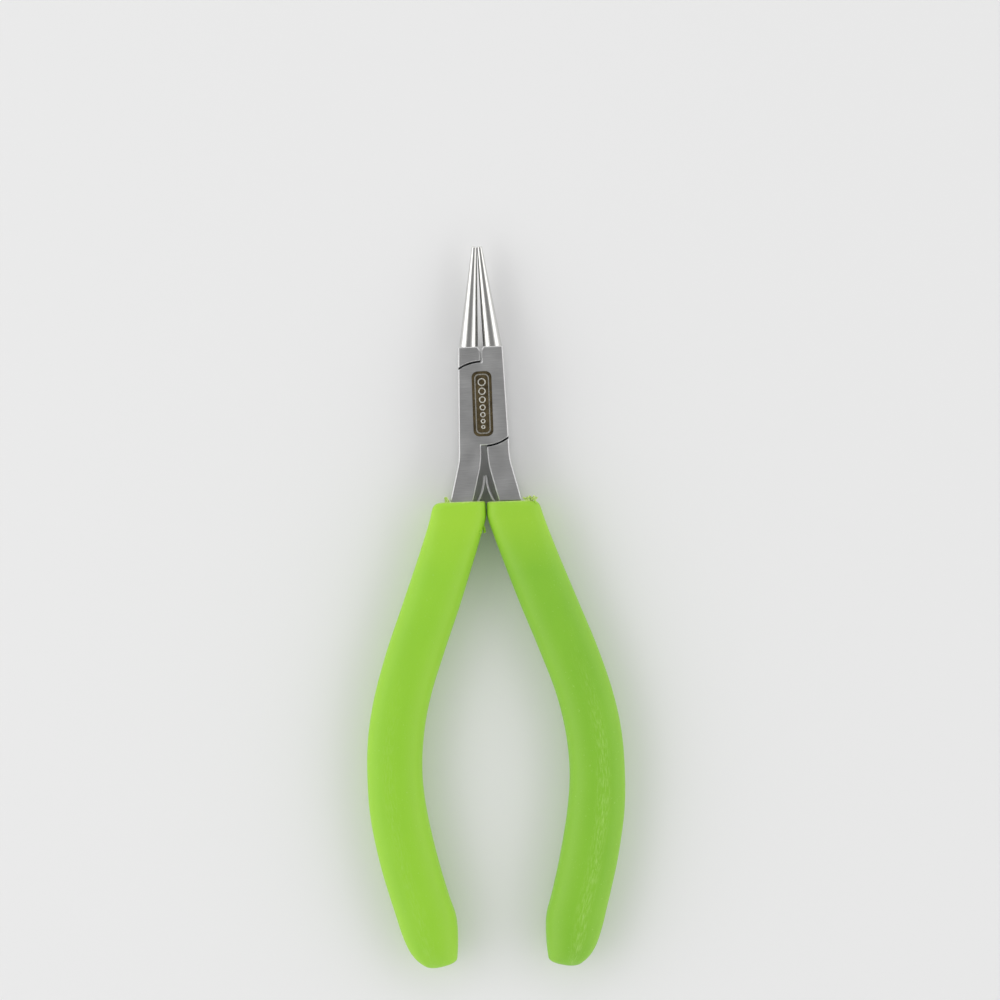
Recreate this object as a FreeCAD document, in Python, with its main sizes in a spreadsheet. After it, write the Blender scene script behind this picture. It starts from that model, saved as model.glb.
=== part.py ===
import FreeCAD, Part
import Sketcher
import math
import os

# Box-joint round nose pliers, 144 mm long, lying flat on their grips with the noses towards +Y.
#
# Every sub-part is drawn about the joint's pivot: X across the pliers, Y along them, Z through their
# thickness. Each body's Placement then carries the pivot to its place in the row frame, whose origin is
# under the middle of the pliers, on the surface that the grips lie on.
# The slotted half carries the right nose and the left handle. The tongue half passes through its slot
# and carries the left nose and the right handle.

V = FreeCAD.Vector
START, END = 1, 2
LEFT, RIGHT = 1, -1
PAST = 1.1  # a cut runs this many times further than what it trims
LEAST_CHANGE = 1e-3  # cubic millimetres that every feature has to add or remove

# Driving dimensions, in millimetres and degrees.
SIZES = {
    # noses
    "jaw_reach": 31.6,  # pivot to nose tips
    "jaw_shoulder": 11.4,  # pivot to the shoulder that the cones rise from
    "tip_dia": 1.0,
    "tip_round": 0.3,
    "tip_gap": 0.04,  # between the closed tips
    "cone_base_dia": 3.85,
    "cone_base_centre": 2.38,  # from the middle plane, at the shoulder
    "cone_root": 1.0,  # how far the cone's narrower root runs into its block
    "root_dia": 3.0,
    # head
    "head_thick": 6.4,
    "shoulder_half": 4.4,  # half the head's width at the shoulder
    "upper_seam_half": 4.55,
    "pivot_half": 4.75,
    "lower_seam_half": 4.93,
    "block_gap": 0.22,  # between the two jaw blocks
    "block_bevel": 0.45,
    "corner_bevel": 0.15,
    "edge_chamfer": 0.2,
    "mark_length": 13.0,
    "mark_width": 4.0,
    "mark_round": 1.2,
    "mark_depth": 0.05,
    # box joint
    "cheek_radius": 8.3,
    "seam_gap": 0.24,
    "tongue_thick": 2.4,
    "tongue_disc": 3.7,
    "slot_clear": 0.05,
    "stop_shoulder": 18.0,
    "stop_travel": 26.0,  # from closed to where the shoulders would meet
    "pin_dia": 3.6,
    "pin_clear": 0.04,
    # shanks and tangs
    "neck_centre": 2.8,  # shank's centre line to the middle plane, under the joint
    "neck_top": 9.3,
    "neck_bend": 15.0,
    "neck_angle": 14.0,
    "neck_run": 8.15,
    "splay_bend": 60.0,
    "splay_angle": 20.3,
    "straight_share": 0.235,  # the long straight's part of the tail reach
    "bow_share": 0.5655,  # and the bow radius's
    "tail_angle": 14.4,
    "tail_run": 11.0,
    "toe_bend": 30.0,
    "toe_angle": 2.0,
    "tang_width": 4.4,
    "tang_step": 0.5,  # from the ground head down to the tang, on each face
    "tang_tail": 10.0,  # straight end of the tang
    # grips
    "tail_reach": 112.3,  # pivot to the grips' ends
    "mouth": 19.75,  # pivot to the grips' mouths
    "mouth_gap": 0.2,  # from the tang's step to the mouth
    "grip_width": 11.0,
    "grip_thick": 9.6,
    "grip_round": 4.0,
    "grip_gap": 0.24,  # between the two closed grips
    "end_round": 2.4,
    "tang_clear": 0.05,
    # leaf springs
    "spring_thick": 0.45,
    "spring_width": 4.4,
    "spring_tip": 14.3,  # pivot to the free end
    "spring_gap": 0.06,  # between the two free ends
    "spring_bow": 10.0,
    "spring_lean": 32.0,  # free leaf's angle where it leaves the foot
    "spring_foot": 5.2,
    "spring_clear": 0.05,
    "bay_depth": 1.4,  # room beside the tang for the spring and the rivet's head
    "bay_side": 0.15,
    # rivets
    "rivet_at": 2.9,  # from the foot's end
    "rivet_dia": 1.6,
    "rivet_head_dia": 2.8,
    "rivet_head": 0.5,
    "rivet_crown_share": 0.6,  # the flat crown's part of the head's radius
    "rivet_rim_share": 0.5,  # the upright rim's part of the head's height
    "rivet_depth": 3.0,
    "rivet_clear": 0.02,
}

doc = FreeCAD.newDocument("round_nose_pliers")
sheet = doc.addObject("Spreadsheet::Sheet", "Sizes")


class Size:
    """A number and the expression, in the sheet's names, that it comes from."""

    def __init__(self, text, value):
        self.text = text
        self.value = value

    def join(self, sign, other, value):
        return Size("(%s %s %s)" % (self.text, sign, other.text), value)

    def __add__(self, other):
        other = size(other)
        return self.join("+", other, self.value + other.value)

    def __sub__(self, other):
        other = size(other)
        return self.join("-", other, self.value - other.value)

    def __mul__(self, other):
        other = size(other)
        return self.join("*", other, self.value * other.value)

    def __truediv__(self, other):
        other = size(other)
        return self.join("/", other, self.value / other.value)

    def __radd__(self, other):
        return size(other) + self

    def __rsub__(self, other):
        return size(other) - self

    def __rmul__(self, other):
        return size(other) * self

    def __neg__(self):
        return size(0) - self


def size(number):
    return number if isinstance(number, Size) else Size(repr(number), float(number))


def sin(angle):
    return Size("sin(%s)" % angle.text, math.sin(math.radians(angle.value)))


def cos(angle):
    return Size("cos(%s)" % angle.text, math.cos(math.radians(angle.value)))


def root(area):
    return Size("sqrt(%s)" % area.text, math.sqrt(area.value))


def arc_cos(ratio):
    return Size("(acos(%s) / 1 deg)" % ratio.text, math.degrees(math.acos(ratio.value)))


def arc_tan(ratio):
    return Size("(atan(%s) / 1 deg)" % ratio.text, math.degrees(math.atan(ratio.value)))


sheet_rows = []


def in_sheet(name, made):
    """Write a size into the sheet under its own name."""
    sheet_rows.append(name)
    cell = "B%d" % len(sheet_rows)
    sheet.set("A%d" % len(sheet_rows), name)
    sheet.set(cell, made)
    sheet.setAlias(cell, name)


def derived(name, result):
    """Give a worked-out size its own line in the sheet."""
    in_sheet(name, "=" + result.text.replace("Sizes.", ""))
    return Size("Sizes." + name, result.value)


D = {}
for size_name, number in SIZES.items():
    in_sheet(size_name, str(number))
    D[size_name] = Size("Sizes." + size_name, number)


class Station:
    """A place and heading on the right handle's centre line; headings are degrees outward from straight
    down the pliers."""

    def __init__(self, x, y, heading):
        self.x, self.y, self.heading = x, y, heading

    def ahead(self, run, inward=0):
        """The place run further along, and inward from the centre line towards the middle plane."""
        x = self.x + run * sin(self.heading) - inward * cos(self.heading)
        y = self.y - run * cos(self.heading) - inward * sin(self.heading)
        return x, y

    def straight(self, name, run):
        x, y = self.ahead(run)
        return Station(derived(name + "_x", x), derived(name + "_y", y), self.heading)

    def turned(self, name, radius, heading, outward=True):
        """The end of an arc that turns to a new heading."""
        way = 1 if outward else -1
        x = self.x + way * radius * (cos(self.heading) - cos(heading))
        y = self.y - way * radius * (sin(heading) - sin(self.heading))
        return Station(derived(name + "_x", x), derived(name + "_y", y), heading)


# The handle's centre line: a bend out of the head, the neck, a little more splay, the long straight, the
# bow that the hand holds, the tail that turns back in, and the toe that straightens up again.
bow_radius = derived("bow_radius", D["bow_share"] * D["tail_reach"])
straight_run = derived("straight_run", D["straight_share"] * D["tail_reach"])
neck_start = Station(D["neck_centre"], -D["neck_top"], size(0))
neck = neck_start.turned("neck", D["neck_bend"], D["neck_angle"])
splay = neck.straight("splay", D["neck_run"])
long_run = splay.turned("long_run", D["splay_bend"], D["splay_angle"])
bow = long_run.straight("bow", straight_run)
tail = bow.turned("tail", bow_radius, -D["tail_angle"], outward=False)
toe = tail.straight("toe", D["tail_run"])
toe_end = toe.turned("toe_end", D["toe_bend"], -D["toe_angle"])
OUTWARD, INWARD = 1, -1
# Each station with the arc that leaves it, as a radius and the way that it turns, or None for a straight.
PATH = [
    (neck_start, (D["neck_bend"], OUTWARD)),
    (neck, None),
    (splay, (D["splay_bend"], OUTWARD)),
    (long_run, None),
    (bow, (bow_radius, INWARD)),
    (tail, None),
    (toe, (D["toe_bend"], OUTWARD)),
    (toe_end, None),
]
ALONG = [station for station, _ in PATH]


def band(first, last, half, run):
    """Corners round a band of the centre line, from one station to a run past another: down its inner
    edge and back up its outer one."""
    part = PATH[ALONG.index(first) : ALONG.index(last) + 1]
    corners = []
    for station, arc in part:
        bend = None
        if arc is not None and station is not last:
            bend = (arc[0] + arc[1] * half, LEFT if arc[1] == OUTWARD else RIGHT)
        corners.append((*station.ahead(0, half), bend))
    corners.append((*last.ahead(run, half), None))
    corners.append((*last.ahead(run, -half), None))
    above = [None] + [arc for _, arc in part[:-1]]
    for (station, _), arc in zip(reversed(part), reversed(above)):
        bend = None
        if arc is not None:
            bend = (arc[0] - arc[1] * half, RIGHT if arc[1] == OUTWARD else LEFT)
        corners.append((*station.ahead(0, -half), bend))
    return corners


doc.recompute()


def bind(obj, prop, result):
    obj.setExpression(prop, result.text)


def new_body(label):
    body = doc.addObject("PartDesign::Body", label)
    body.Label = label
    bind(body, "Placement.Base.y", (D["tail_reach"] - D["jaw_reach"]) / 2)
    bind(body, "Placement.Base.z", D["grip_thick"] / 2)
    return body


def new_sketch(body, name, level=None):
    """A sketch on the body's XY plane, moved up to a level."""
    sketch = body.newObject("Sketcher::SketchObject", body.Label + "_" + name)
    planes = [f for f in body.Origin.OriginFeatures if f.Role == "XY_Plane"]
    sketch.AttachmentSupport = [(planes[0], "")]
    sketch.MapMode = "FlatFace"
    if level is not None:
        bind(sketch, "AttachmentOffset.Base.z", level)
    return sketch


def dimension(sketch, kind, *what, result):
    """A dimension bound to the sheet."""
    index = sketch.addConstraint(Sketcher.Constraint(kind, *what, result.value))
    name = "size_%d" % index
    sketch.renameConstraint(index, name)
    bind(sketch, "Constraints." + name, result)


def place(sketch, edge, point, x, y):
    dimension(sketch, "DistanceX", edge, point, result=x)
    dimension(sketch, "DistanceY", edge, point, result=y)


def arc_between(a, b, radius, turn):
    """The short arc from a to b, with its centre to the LEFT or the RIGHT of the way from a to b."""
    half = (b - a).Length / 2
    rise = math.sqrt(max(radius**2 - half**2, 0.0))
    centre = (a + b) / 2 + V(a.y - b.y, b.x - a.x, 0).normalize() * rise * turn
    ends = (a, b) if turn == LEFT else (b, a)
    first, last = (math.atan2(p.y - centre.y, p.x - centre.x) for p in ends)
    if last < first:
        last += 2 * math.pi
    return Part.ArcOfCircle(Part.Circle(centre, V(0, 0, 1), radius), first, last)


def outline(sketch, corners, side=1):
    """A closed outline. Each corner is (x, y, bend): bend is None for a straight edge to the next corner,
    or (radius, LEFT or RIGHT) for an arc. A side of -1 mirrors it in the middle plane."""
    corners = [(side * size(x), size(y), bend) for x, y, bend in corners]
    points = [V(x.value, y.value, 0) for x, y, _ in corners]
    first = sketch.GeometryCount
    leaves, meets = [], []
    for k, (_, _, bend) in enumerate(corners):
        a, b = points[k], points[(k + 1) % len(points)]
        if bend is None:
            sketch.addGeometry(Part.LineSegment(a, b), False)
            forward = True
        else:
            turn = bend[1] * side
            sketch.addGeometry(arc_between(a, b, bend[0].value, turn), False)
            forward = turn == LEFT
        leaves.append(START if forward else END)
        meets.append(END if forward else START)
    for k in range(len(points)):
        after = (k + 1) % len(points)
        sketch.addConstraint(
            Sketcher.Constraint("Coincident", first + k, meets[k], first + after, leaves[after])
        )
    for k, (x, y, bend) in enumerate(corners):
        place(sketch, first + k, leaves[k], x, y)
        if bend is not None:
            dimension(sketch, "Radius", first + k, result=bend[0])


def circle(sketch, radius):
    edge = sketch.addGeometry(Part.Circle(V(0, 0, 0), V(0, 0, 1), radius.value), False)
    sketch.addConstraint(Sketcher.Constraint("Coincident", edge, 3, -1, 1))
    dimension(sketch, "Radius", edge, result=radius)


def turn_axis(sketch, a, b, side=1):
    """The construction line that a Revolution or Groove turns about."""
    ends = [(side * x, y) for x, y in (a, b)]
    edge = sketch.addGeometry(Part.LineSegment(*[V(x.value, y.value, 0) for x, y in ends]), True)
    for point, (x, y) in zip((START, END), ends):
        place(sketch, edge, point, x, y)


def build(body, kind, sketch, **bound):
    """A feature made from a sketch; a cut that removes nothing is an error."""
    before = body.Shape.Volume if body.Tip else 0.0
    feature = body.newObject("PartDesign::" + kind, sketch.Name + "_" + kind.lower())
    feature.Profile = sketch
    if kind in ("Pad", "Pocket"):
        feature.Midplane = True
        bind(feature, "Length", bound["thick"])
    else:
        feature.ReferenceAxis = (sketch, ["Axis0"])
        feature.Angle = 360
    doc.recompute()
    if kind in ("Pocket", "Groove") and not body.Shape.Volume < before - LEAST_CHANGE:
        raise RuntimeError(feature.Name + " cut nothing")
    if kind in ("Pad", "Revolution") and not body.Shape.Volume > before + LEAST_CHANGE:
        raise RuntimeError(feature.Name + " added nothing")
    return feature


def dress(body, kind, prop, amount, keep):
    """A fillet or chamfer on those edges of the body's tip that keep accepts."""
    base = body.Tip
    names = ["Edge%d" % (n + 1) for n, edge in enumerate(base.Shape.Edges) if keep(edge)]
    feature = body.newObject("PartDesign::" + kind, "%s_%s_%s" % (body.Label, kind.lower(), len(body.Group)))
    feature.Base = (base, names)
    bind(feature, prop, amount)
    doc.recompute()
    if not feature.Shape.Volume < base.Shape.Volume - LEAST_CHANGE:
        raise RuntimeError(feature.Name + " did nothing")
    return feature


def lies_at(low, high, level, tolerance=1e-4):
    return abs(low - level) < tolerance and abs(high - level) < tolerance


def on_faces(edge, half_thick):
    """Whether an edge lies in the front or the back face."""
    box = edge.BoundBox
    return any(lies_at(box.ZMin, box.ZMax, z) for z in (half_thick, -half_thick))


# Places on the head, for the half whose nose is on the right and whose handle is on the left.
head_half = D["head_thick"] / 2
disc = D["tongue_disc"]
gap_half = D["block_gap"] / 2
neck_inner = D["neck_centre"] - D["tang_width"] / 2
tang_thick = derived("tang_thick", D["head_thick"] - 2 * D["tang_step"])


def height_on(radius, x):
    return root(radius * radius - x * x)


upper_seam_y = derived("upper_seam_y", height_on(D["cheek_radius"], D["upper_seam_half"]))
lower_seam_y = derived("lower_seam_y", height_on(D["cheek_radius"], D["lower_seam_half"]))
block_y = derived("block_y", height_on(D["cheek_radius"], gap_half))
crotch_y = derived("crotch_y", height_on(D["cheek_radius"], neck_inner))
seat_radius = derived("seat_radius", D["cheek_radius"] + D["seam_gap"])
beyond = D["head_thick"]  # a distance that is clear of the head's sides
doc.recompute()


def polar(angle, radius):
    return radius * cos(angle), radius * sin(angle)


def touch_angle(x, y, radius):
    """Between a point's direction and the place where a line from it touches a circle at the pivot."""
    return arc_cos(radius / root(x * x + y * y))


def half_blank(body, side):
    """One half's full plan through the whole thickness, with its nose on the given side."""
    handle = band(neck_start, tail, D["tang_width"] / 2, D["tang_tail"])
    across = [(-x, y, None if bend is None else (bend[0], -bend[1])) for x, y, bend in handle]
    cheek = (D["cheek_radius"], RIGHT)
    shoulder = D["jaw_shoulder"]
    corners = [
        (gap_half, block_y, None),
        (gap_half, shoulder - 2 * D["block_bevel"], None),
        (gap_half + D["block_bevel"], shoulder, None),
        (D["shoulder_half"] - D["corner_bevel"], shoulder, None),
        (D["shoulder_half"], shoulder - D["corner_bevel"], None),
        (D["upper_seam_half"], upper_seam_y, None),
        (D["pivot_half"], 0, None),
        (D["lower_seam_half"], -lower_seam_y, cheek),
        (-neck_inner, -crotch_y, None),
        *across,
        (-D["lower_seam_half"], -lower_seam_y, None),
        (-D["pivot_half"], 0, None),
        (-D["upper_seam_half"], upper_seam_y, cheek),
    ]
    sketch = new_sketch(body, "plan")
    outline(sketch, corners, side)
    build(body, "Pad", sketch, thick=D["head_thick"])
    # The tang is thinner than the ground head, from just outside the grip's mouth.
    wide, layer = bow_radius, D["head_thick"] / 2
    for way, name in ((1, "front"), (-1, "back")):
        level = way * (tang_thick + layer) / 2
        low, high = (-wide, -D["tail_reach"]), (wide, D["mouth_gap"] - D["mouth"])
        box_cut(body, name + "_step", low, high, side, layer, level)


def box_cut(body, name, low, high, side, thick, level=None):
    """Trim away everything between two corners in plan."""
    (x0, y0), (x1, y1) = low, high
    sketch = new_sketch(body, name, level)
    outline(sketch, [(x0, y0, None), (x1, y0, None), (x1, y1, None), (x0, y1, None)], side)
    build(body, "Pocket", sketch, thick=thick)


def nose(body, side):
    """The round nose: a cone that leans to the middle plane and has a softened tip."""
    tip_x = (D["tip_dia"] + D["tip_gap"]) / 2
    rise = D["jaw_reach"] - D["jaw_shoulder"]
    drift = D["cone_base_centre"] - tip_x
    lean = derived(body.Label + "_lean", arc_tan(drift / rise))

    def spot(along, out):
        """Along the cone's axis from the shoulder, and out from it."""
        return (
            D["cone_base_centre"] - along * sin(lean) + out * cos(lean),
            D["jaw_shoulder"] + along * cos(lean) + out * sin(lean),
        )

    length = rise / cos(lean)
    low, high = -D["cone_root"], length
    corners = [
        (*spot(low, size(0)), None),
        (*spot(low, D["root_dia"] / 2), None),
        (*spot(size(0), D["cone_base_dia"] / 2), None),
        (*spot(high, D["tip_dia"] / 2), None),
        (*spot(high, size(0)), None),
    ]
    sketch = new_sketch(body, "nose")
    outline(sketch, corners, side)
    turn_axis(sketch, spot(low, size(0)), spot(high, size(0)), side)
    build(body, "Revolution", sketch)
    near_tip = D["jaw_reach"].value - D["tip_dia"].value

    def tip_rim(edge):
        return edge.BoundBox.YMin > near_tip and edge.isClosed()

    dress(body, "Fillet", "Radius", D["tip_round"], tip_rim)


def pin_bore(body, radius):
    sketch = new_sketch(body, "pin_bore")
    circle(sketch, radius)
    build(body, "Pocket", sketch, thick=2 * D["head_thick"])


# Spring: the free leaf rises from a kink on the tang's inner face to a tip beside the middle plane.
face = D["tang_width"] / 2
leaf_half = D["spring_thick"] / 2
tip_x = derived("spring_tip_x", D["spring_gap"] / 2 + leaf_half)
lean = D["spring_lean"]
swing = lean - D["neck_angle"]
bow_end = (
    derived("leaf_x", tip_x + D["spring_bow"] * (1 - cos(lean))),
    derived("leaf_y", -D["spring_tip"] - D["spring_bow"] * sin(lean)),
)
foot_inward = face + D["spring_clear"] + leaf_half
# How far the leaf runs straight on from its bow to the kink, and where along the neck that is.
to_neck = (neck.x - bow_end[0], neck.y - bow_end[1])
across_neck = to_neck[0] * cos(D["neck_angle"]) + to_neck[1] * sin(D["neck_angle"]) - foot_inward
leaf_run = derived("leaf_run", across_neck / sin(swing))
kink_run = derived(
    "kink_run",
    -(to_neck[0] * sin(D["neck_angle"]) - to_neck[1] * cos(D["neck_angle"])) + leaf_run * cos(swing),
)
foot_run = derived("foot_run", kink_run + D["spring_foot"])
doc.recompute()


def rivet_bore(body, side, depth, radius, start):
    """A round bore square to the tang's inner face, from an inward distance for a depth."""
    run = foot_run - D["rivet_at"]
    far = start - depth
    corners = [
        (*neck.ahead(run, start), None),
        (*neck.ahead(run + radius, start), None),
        (*neck.ahead(run + radius, far), None),
        (*neck.ahead(run, far), None),
    ]
    sketch = new_sketch(body, "rivet_bore")
    outline(sketch, corners, side)
    turn_axis(sketch, neck.ahead(run, start), neck.ahead(run, far), side)
    build(body, "Groove", sketch)


def slotted_half():
    body = new_body("slotted_half")
    half_blank(body, 1)
    dress(body, "Chamfer", "Size", D["edge_chamfer"], lambda edge: on_faces(edge, head_half.value))
    nose(body, 1)

    # The slot, open at both sides, that the tongue passes through and turns in.
    room = disc + D["slot_clear"]
    upper = 90 - touch_angle(gap_half, block_y, room) - arc_tan(gap_half / block_y)
    lower = 270 - touch_angle(neck_inner, crotch_y, room) - arc_tan(neck_inner / crotch_y)
    stop = D["stop_travel"] - D["stop_shoulder"]
    above = D["cheek_radius"] * PAST
    corners = [
        (gap_half, block_y, None),
        (*polar(upper, room), (room, RIGHT)),
        (*polar(stop, room), None),
        (*polar(stop, beyond), None),
        (beyond, -above, None),
        (-neck_inner, -above, None),
        (-neck_inner, -crotch_y, None),
        (*polar(lower, room), (room, RIGHT)),
        (*polar(stop + 180, room), None),
        (*polar(stop + 180, beyond), None),
        (-beyond, above, None),
        (gap_half, above, None),
    ]
    sketch = new_sketch(body, "slot")
    outline(sketch, corners)
    build(body, "Pocket", sketch, thick=D["tongue_thick"] + 2 * D["slot_clear"])
    pin_bore(body, D["pin_dia"] / 2)

    # The shallow etched panel on the front cheek.
    x, y, r = D["mark_width"] / 2, D["mark_length"] / 2, D["mark_round"]
    bend = (r, RIGHT)
    corners = [
        (-x, r - y, None),
        (-x, y - r, bend),
        (r - x, y, None),
        (x - r, y, bend),
        (x, y - r, None),
        (x, r - y, bend),
        (x - r, -y, None),
        (r - x, -y, bend),
    ]
    sketch = new_sketch(body, "panel", level=head_half)
    outline(sketch, corners)
    build(body, "Pocket", sketch, thick=2 * D["mark_depth"])
    rivet_bore(body, -1, D["rivet_depth"] + D["rivet_clear"], D["rivet_dia"] / 2 + D["rivet_clear"], face)
    return body


def tongue_half():
    body = new_body("tongue_half")
    half_blank(body, -1)
    # Cut down to the tongue inside the seats that the other half's cheeks turn in.
    layer = D["head_thick"] / 2
    for way, name in ((1, "front_seat"), (-1, "back_seat")):
        sketch = new_sketch(body, name, level=way * (D["tongue_thick"] + layer) / 2)
        circle(sketch, seat_radius)
        build(body, "Pocket", sketch, thick=layer)
    dress(body, "Chamfer", "Size", D["edge_chamfer"], lambda edge: on_faces(edge, head_half.value))
    nose(body, -1)

    # What is not tongue between the seats: beside the noses' arm and beside the handle's arm.
    upper = 90 - touch_angle(gap_half, seat_radius, disc) - arc_tan(-gap_half / seat_radius)
    lower = 270 - touch_angle(neck_inner, seat_radius, disc) - arc_tan(-neck_inner / seat_radius)
    stop = size(0) - D["stop_shoulder"]
    above = D["cheek_radius"] * PAST
    sides = (
        ("upper_window", upper, stop, -gap_half, 1),
        ("lower_window", lower, stop + 180, neck_inner, -1),
    )
    for name, touch, shoulder, corner, way in sides:
        corners = [
            (corner, way * seat_radius, None),
            (*polar(touch, disc), (disc, RIGHT)),
            (*polar(shoulder, disc), None),
            (*polar(shoulder, beyond), None),
            (way * beyond, way * above, None),
            (corner, way * above, None),
        ]
        sketch = new_sketch(body, name)
        outline(sketch, corners)
        build(body, "Pocket", sketch, thick=D["head_thick"] * 2)
    pin_bore(body, D["pin_dia"] / 2 + D["pin_clear"])
    rivet_bore(body, 1, D["rivet_depth"] + D["rivet_clear"], D["rivet_dia"] / 2 + D["rivet_clear"], face)
    return body


def pivot_pin():
    body = new_body("pivot_pin")
    sketch = new_sketch(body, "round")
    circle(sketch, D["pin_dia"] / 2)
    build(body, "Pad", sketch, thick=D["head_thick"] - 2 * D["mark_depth"])
    return body


def leaf_spring(label, side):
    body = new_body(label)
    thin, bend_radius = D["spring_thick"], D["spring_bow"]

    def on_leaf(off):
        """Where the bow ends, off the leaf's middle towards the tang."""
        return bow_end[0] + off * cos(lean), bow_end[1] + off * sin(lean)

    def kink(off):
        shift = off * (1 - cos(swing)) / sin(swing)
        return neck.ahead(kink_run + shift, foot_inward - off)

    corners = [
        (tip_x - leaf_half, -D["spring_tip"], (bend_radius + leaf_half, LEFT)),
        (*on_leaf(-leaf_half), None),
        (*kink(-leaf_half), None),
        (*neck.ahead(foot_run, foot_inward + leaf_half), None),
        (*neck.ahead(foot_run, foot_inward - leaf_half), None),
        (*kink(leaf_half), None),
        (*on_leaf(leaf_half), (bend_radius - leaf_half, RIGHT)),
        (tip_x + leaf_half, -D["spring_tip"], None),
    ]
    sketch = new_sketch(body, "leaf")
    outline(sketch, corners, side)
    build(body, "Pad", sketch, thick=D["spring_width"])
    rivet_bore(body, side, 3 * thin, D["rivet_dia"] / 2 + D["rivet_clear"], foot_inward + thin)
    return body


def spring_rivet(label, side):
    body = new_body(label)
    run = foot_run - D["rivet_at"]
    under = foot_inward + leaf_half + D["spring_clear"]
    top, deep = under + D["rivet_head"], face - D["rivet_depth"]
    shank, head = D["rivet_dia"] / 2, D["rivet_head_dia"] / 2
    rim, crown = D["rivet_head"] * D["rivet_rim_share"], head * D["rivet_crown_share"]
    corners = [
        (*neck.ahead(run, top), None),
        (*neck.ahead(run + crown, top), None),
        (*neck.ahead(run + head, under + rim), None),
        (*neck.ahead(run + head, under), None),
        (*neck.ahead(run + shank, under), None),
        (*neck.ahead(run + shank, deep), None),
        (*neck.ahead(run, deep), None),
    ]
    sketch = new_sketch(body, "profile")
    outline(sketch, corners, side)
    turn_axis(sketch, neck.ahead(run, deep), neck.ahead(run, top), side)
    build(body, "Revolution", sketch)
    return body


def grip(label, side):
    body = new_body(label)
    half = D["grip_width"] / 2
    over = D["grip_thick"]  # how far the blank runs past its trimmed ends
    toe_run = D["tail_reach"] + toe_end.y + over
    sketch = new_sketch(body, "plan")
    outline(sketch, band(neck, toe_end, half, toe_run), side)
    build(body, "Pad", sketch, thick=D["grip_thick"])
    ends = [V(side * x.value, y.value, 0) for x, y in (neck.ahead(0), toe_end.ahead(toe_run))]

    end_reach = 1.0  # how near a blank's end an edge counts as being across it

    def long_edge(edge):
        """Any edge of the front or back face but the two across the blank's ends."""
        middle = V(edge.BoundBox.Center.x, edge.BoundBox.Center.y, 0)
        away = all((middle - end).Length > end_reach for end in ends)
        return on_faces(edge, D["grip_thick"].value / 2) and away

    dress(body, "Fillet", "Radius", D["grip_round"], long_edge)
    wide, far = 2 * bow_radius, -(D["tail_reach"] + 2 * over)
    trims = (
        ("mouth_trim", (-wide, -D["mouth"]), (wide, size(0))),
        ("middle_trim", (-wide, far), (D["grip_gap"] / 2, size(0))),
        ("end_trim", (-wide, far), (wide, -D["tail_reach"])),
    )
    for name, low, high in trims:
        box_cut(body, name, low, high, side, 2 * D["grip_thick"])

    # The tight bore for the tang, and the bay for the spring's foot and the rivet.
    clear = D["tang_width"] / 2 + D["tang_clear"]
    deep = D["tang_tail"] + D["tang_clear"]
    sketch = new_sketch(body, "tang_bore")
    outline(sketch, band(neck, tail, clear, deep), side)
    build(body, "Pocket", sketch, thick=tang_thick + 2 * D["tang_clear"])
    bay = D["bay_depth"] + face
    low = foot_run + D["bay_side"]
    corners = [
        (*neck.ahead(size(0), size(0)), None),
        (*neck.ahead(low, size(0)), None),
        (*neck.ahead(low, bay), None),
        (*neck.ahead(size(0), bay), None),
    ]
    sketch = new_sketch(body, "spring_bay")
    outline(sketch, corners, side)
    build(body, "Pocket", sketch, thick=D["spring_width"] + 2 * D["bay_side"])
    level = -D["tail_reach"].value
    dress(
        body, "Fillet", "Radius", D["end_round"],
        lambda edge: lies_at(edge.BoundBox.YMin, edge.BoundBox.YMax, level),
    )
    return body


bodies = [
    slotted_half(),
    tongue_half(),
    pivot_pin(),
    leaf_spring("left_leaf_spring", -1),
    leaf_spring("right_leaf_spring", 1),
    spring_rivet("left_spring_rivet", -1),
    spring_rivet("right_spring_rivet", 1),
    grip("left_grip", -1),
    grip("right_grip", 1),
]
doc.recompute()

for thing in doc.Objects:
    if "Invalid" in thing.State or "Error" in thing.State:
        raise RuntimeError(thing.Name + " is in error")
for body in bodies:
    if body.Shape.isNull() or not body.Shape.isValid() or len(body.Shape.Solids) != 1:
        raise RuntimeError(body.Label + " is not one valid solid")

os.makedirs("parts", exist_ok=True)
for body in bodies:
    body.Shape.exportStep(os.path.join("parts", body.Label + ".step"))
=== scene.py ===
import math

import bmesh
import bpy
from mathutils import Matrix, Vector


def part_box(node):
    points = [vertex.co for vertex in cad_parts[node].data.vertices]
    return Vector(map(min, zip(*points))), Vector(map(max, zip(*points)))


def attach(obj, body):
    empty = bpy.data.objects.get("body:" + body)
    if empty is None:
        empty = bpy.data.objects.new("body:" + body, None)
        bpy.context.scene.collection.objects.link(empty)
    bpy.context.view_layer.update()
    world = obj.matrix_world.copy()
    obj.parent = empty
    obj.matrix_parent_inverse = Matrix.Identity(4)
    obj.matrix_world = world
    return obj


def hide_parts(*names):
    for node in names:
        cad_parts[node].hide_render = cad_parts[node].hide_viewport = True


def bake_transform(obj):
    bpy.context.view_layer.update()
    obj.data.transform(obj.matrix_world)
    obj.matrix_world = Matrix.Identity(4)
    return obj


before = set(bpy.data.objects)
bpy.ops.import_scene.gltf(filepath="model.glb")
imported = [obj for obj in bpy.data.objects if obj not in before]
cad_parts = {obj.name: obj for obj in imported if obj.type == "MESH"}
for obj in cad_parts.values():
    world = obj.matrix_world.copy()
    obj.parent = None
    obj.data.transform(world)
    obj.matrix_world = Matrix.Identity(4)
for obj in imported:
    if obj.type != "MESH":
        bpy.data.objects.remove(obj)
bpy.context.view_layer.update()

# Slotted half. One steel forging: the right round nose, the two cheeks of the box joint and the left
# tang. Its flats are ground across their width, its edges are broken with a fine chamfer, and its nose is
# turned and polished.
MM = 0.001
pin_low, pin_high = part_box("pivot_pin")
PIVOT = (Vector(pin_low) + Vector(pin_high)) / 2
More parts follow.
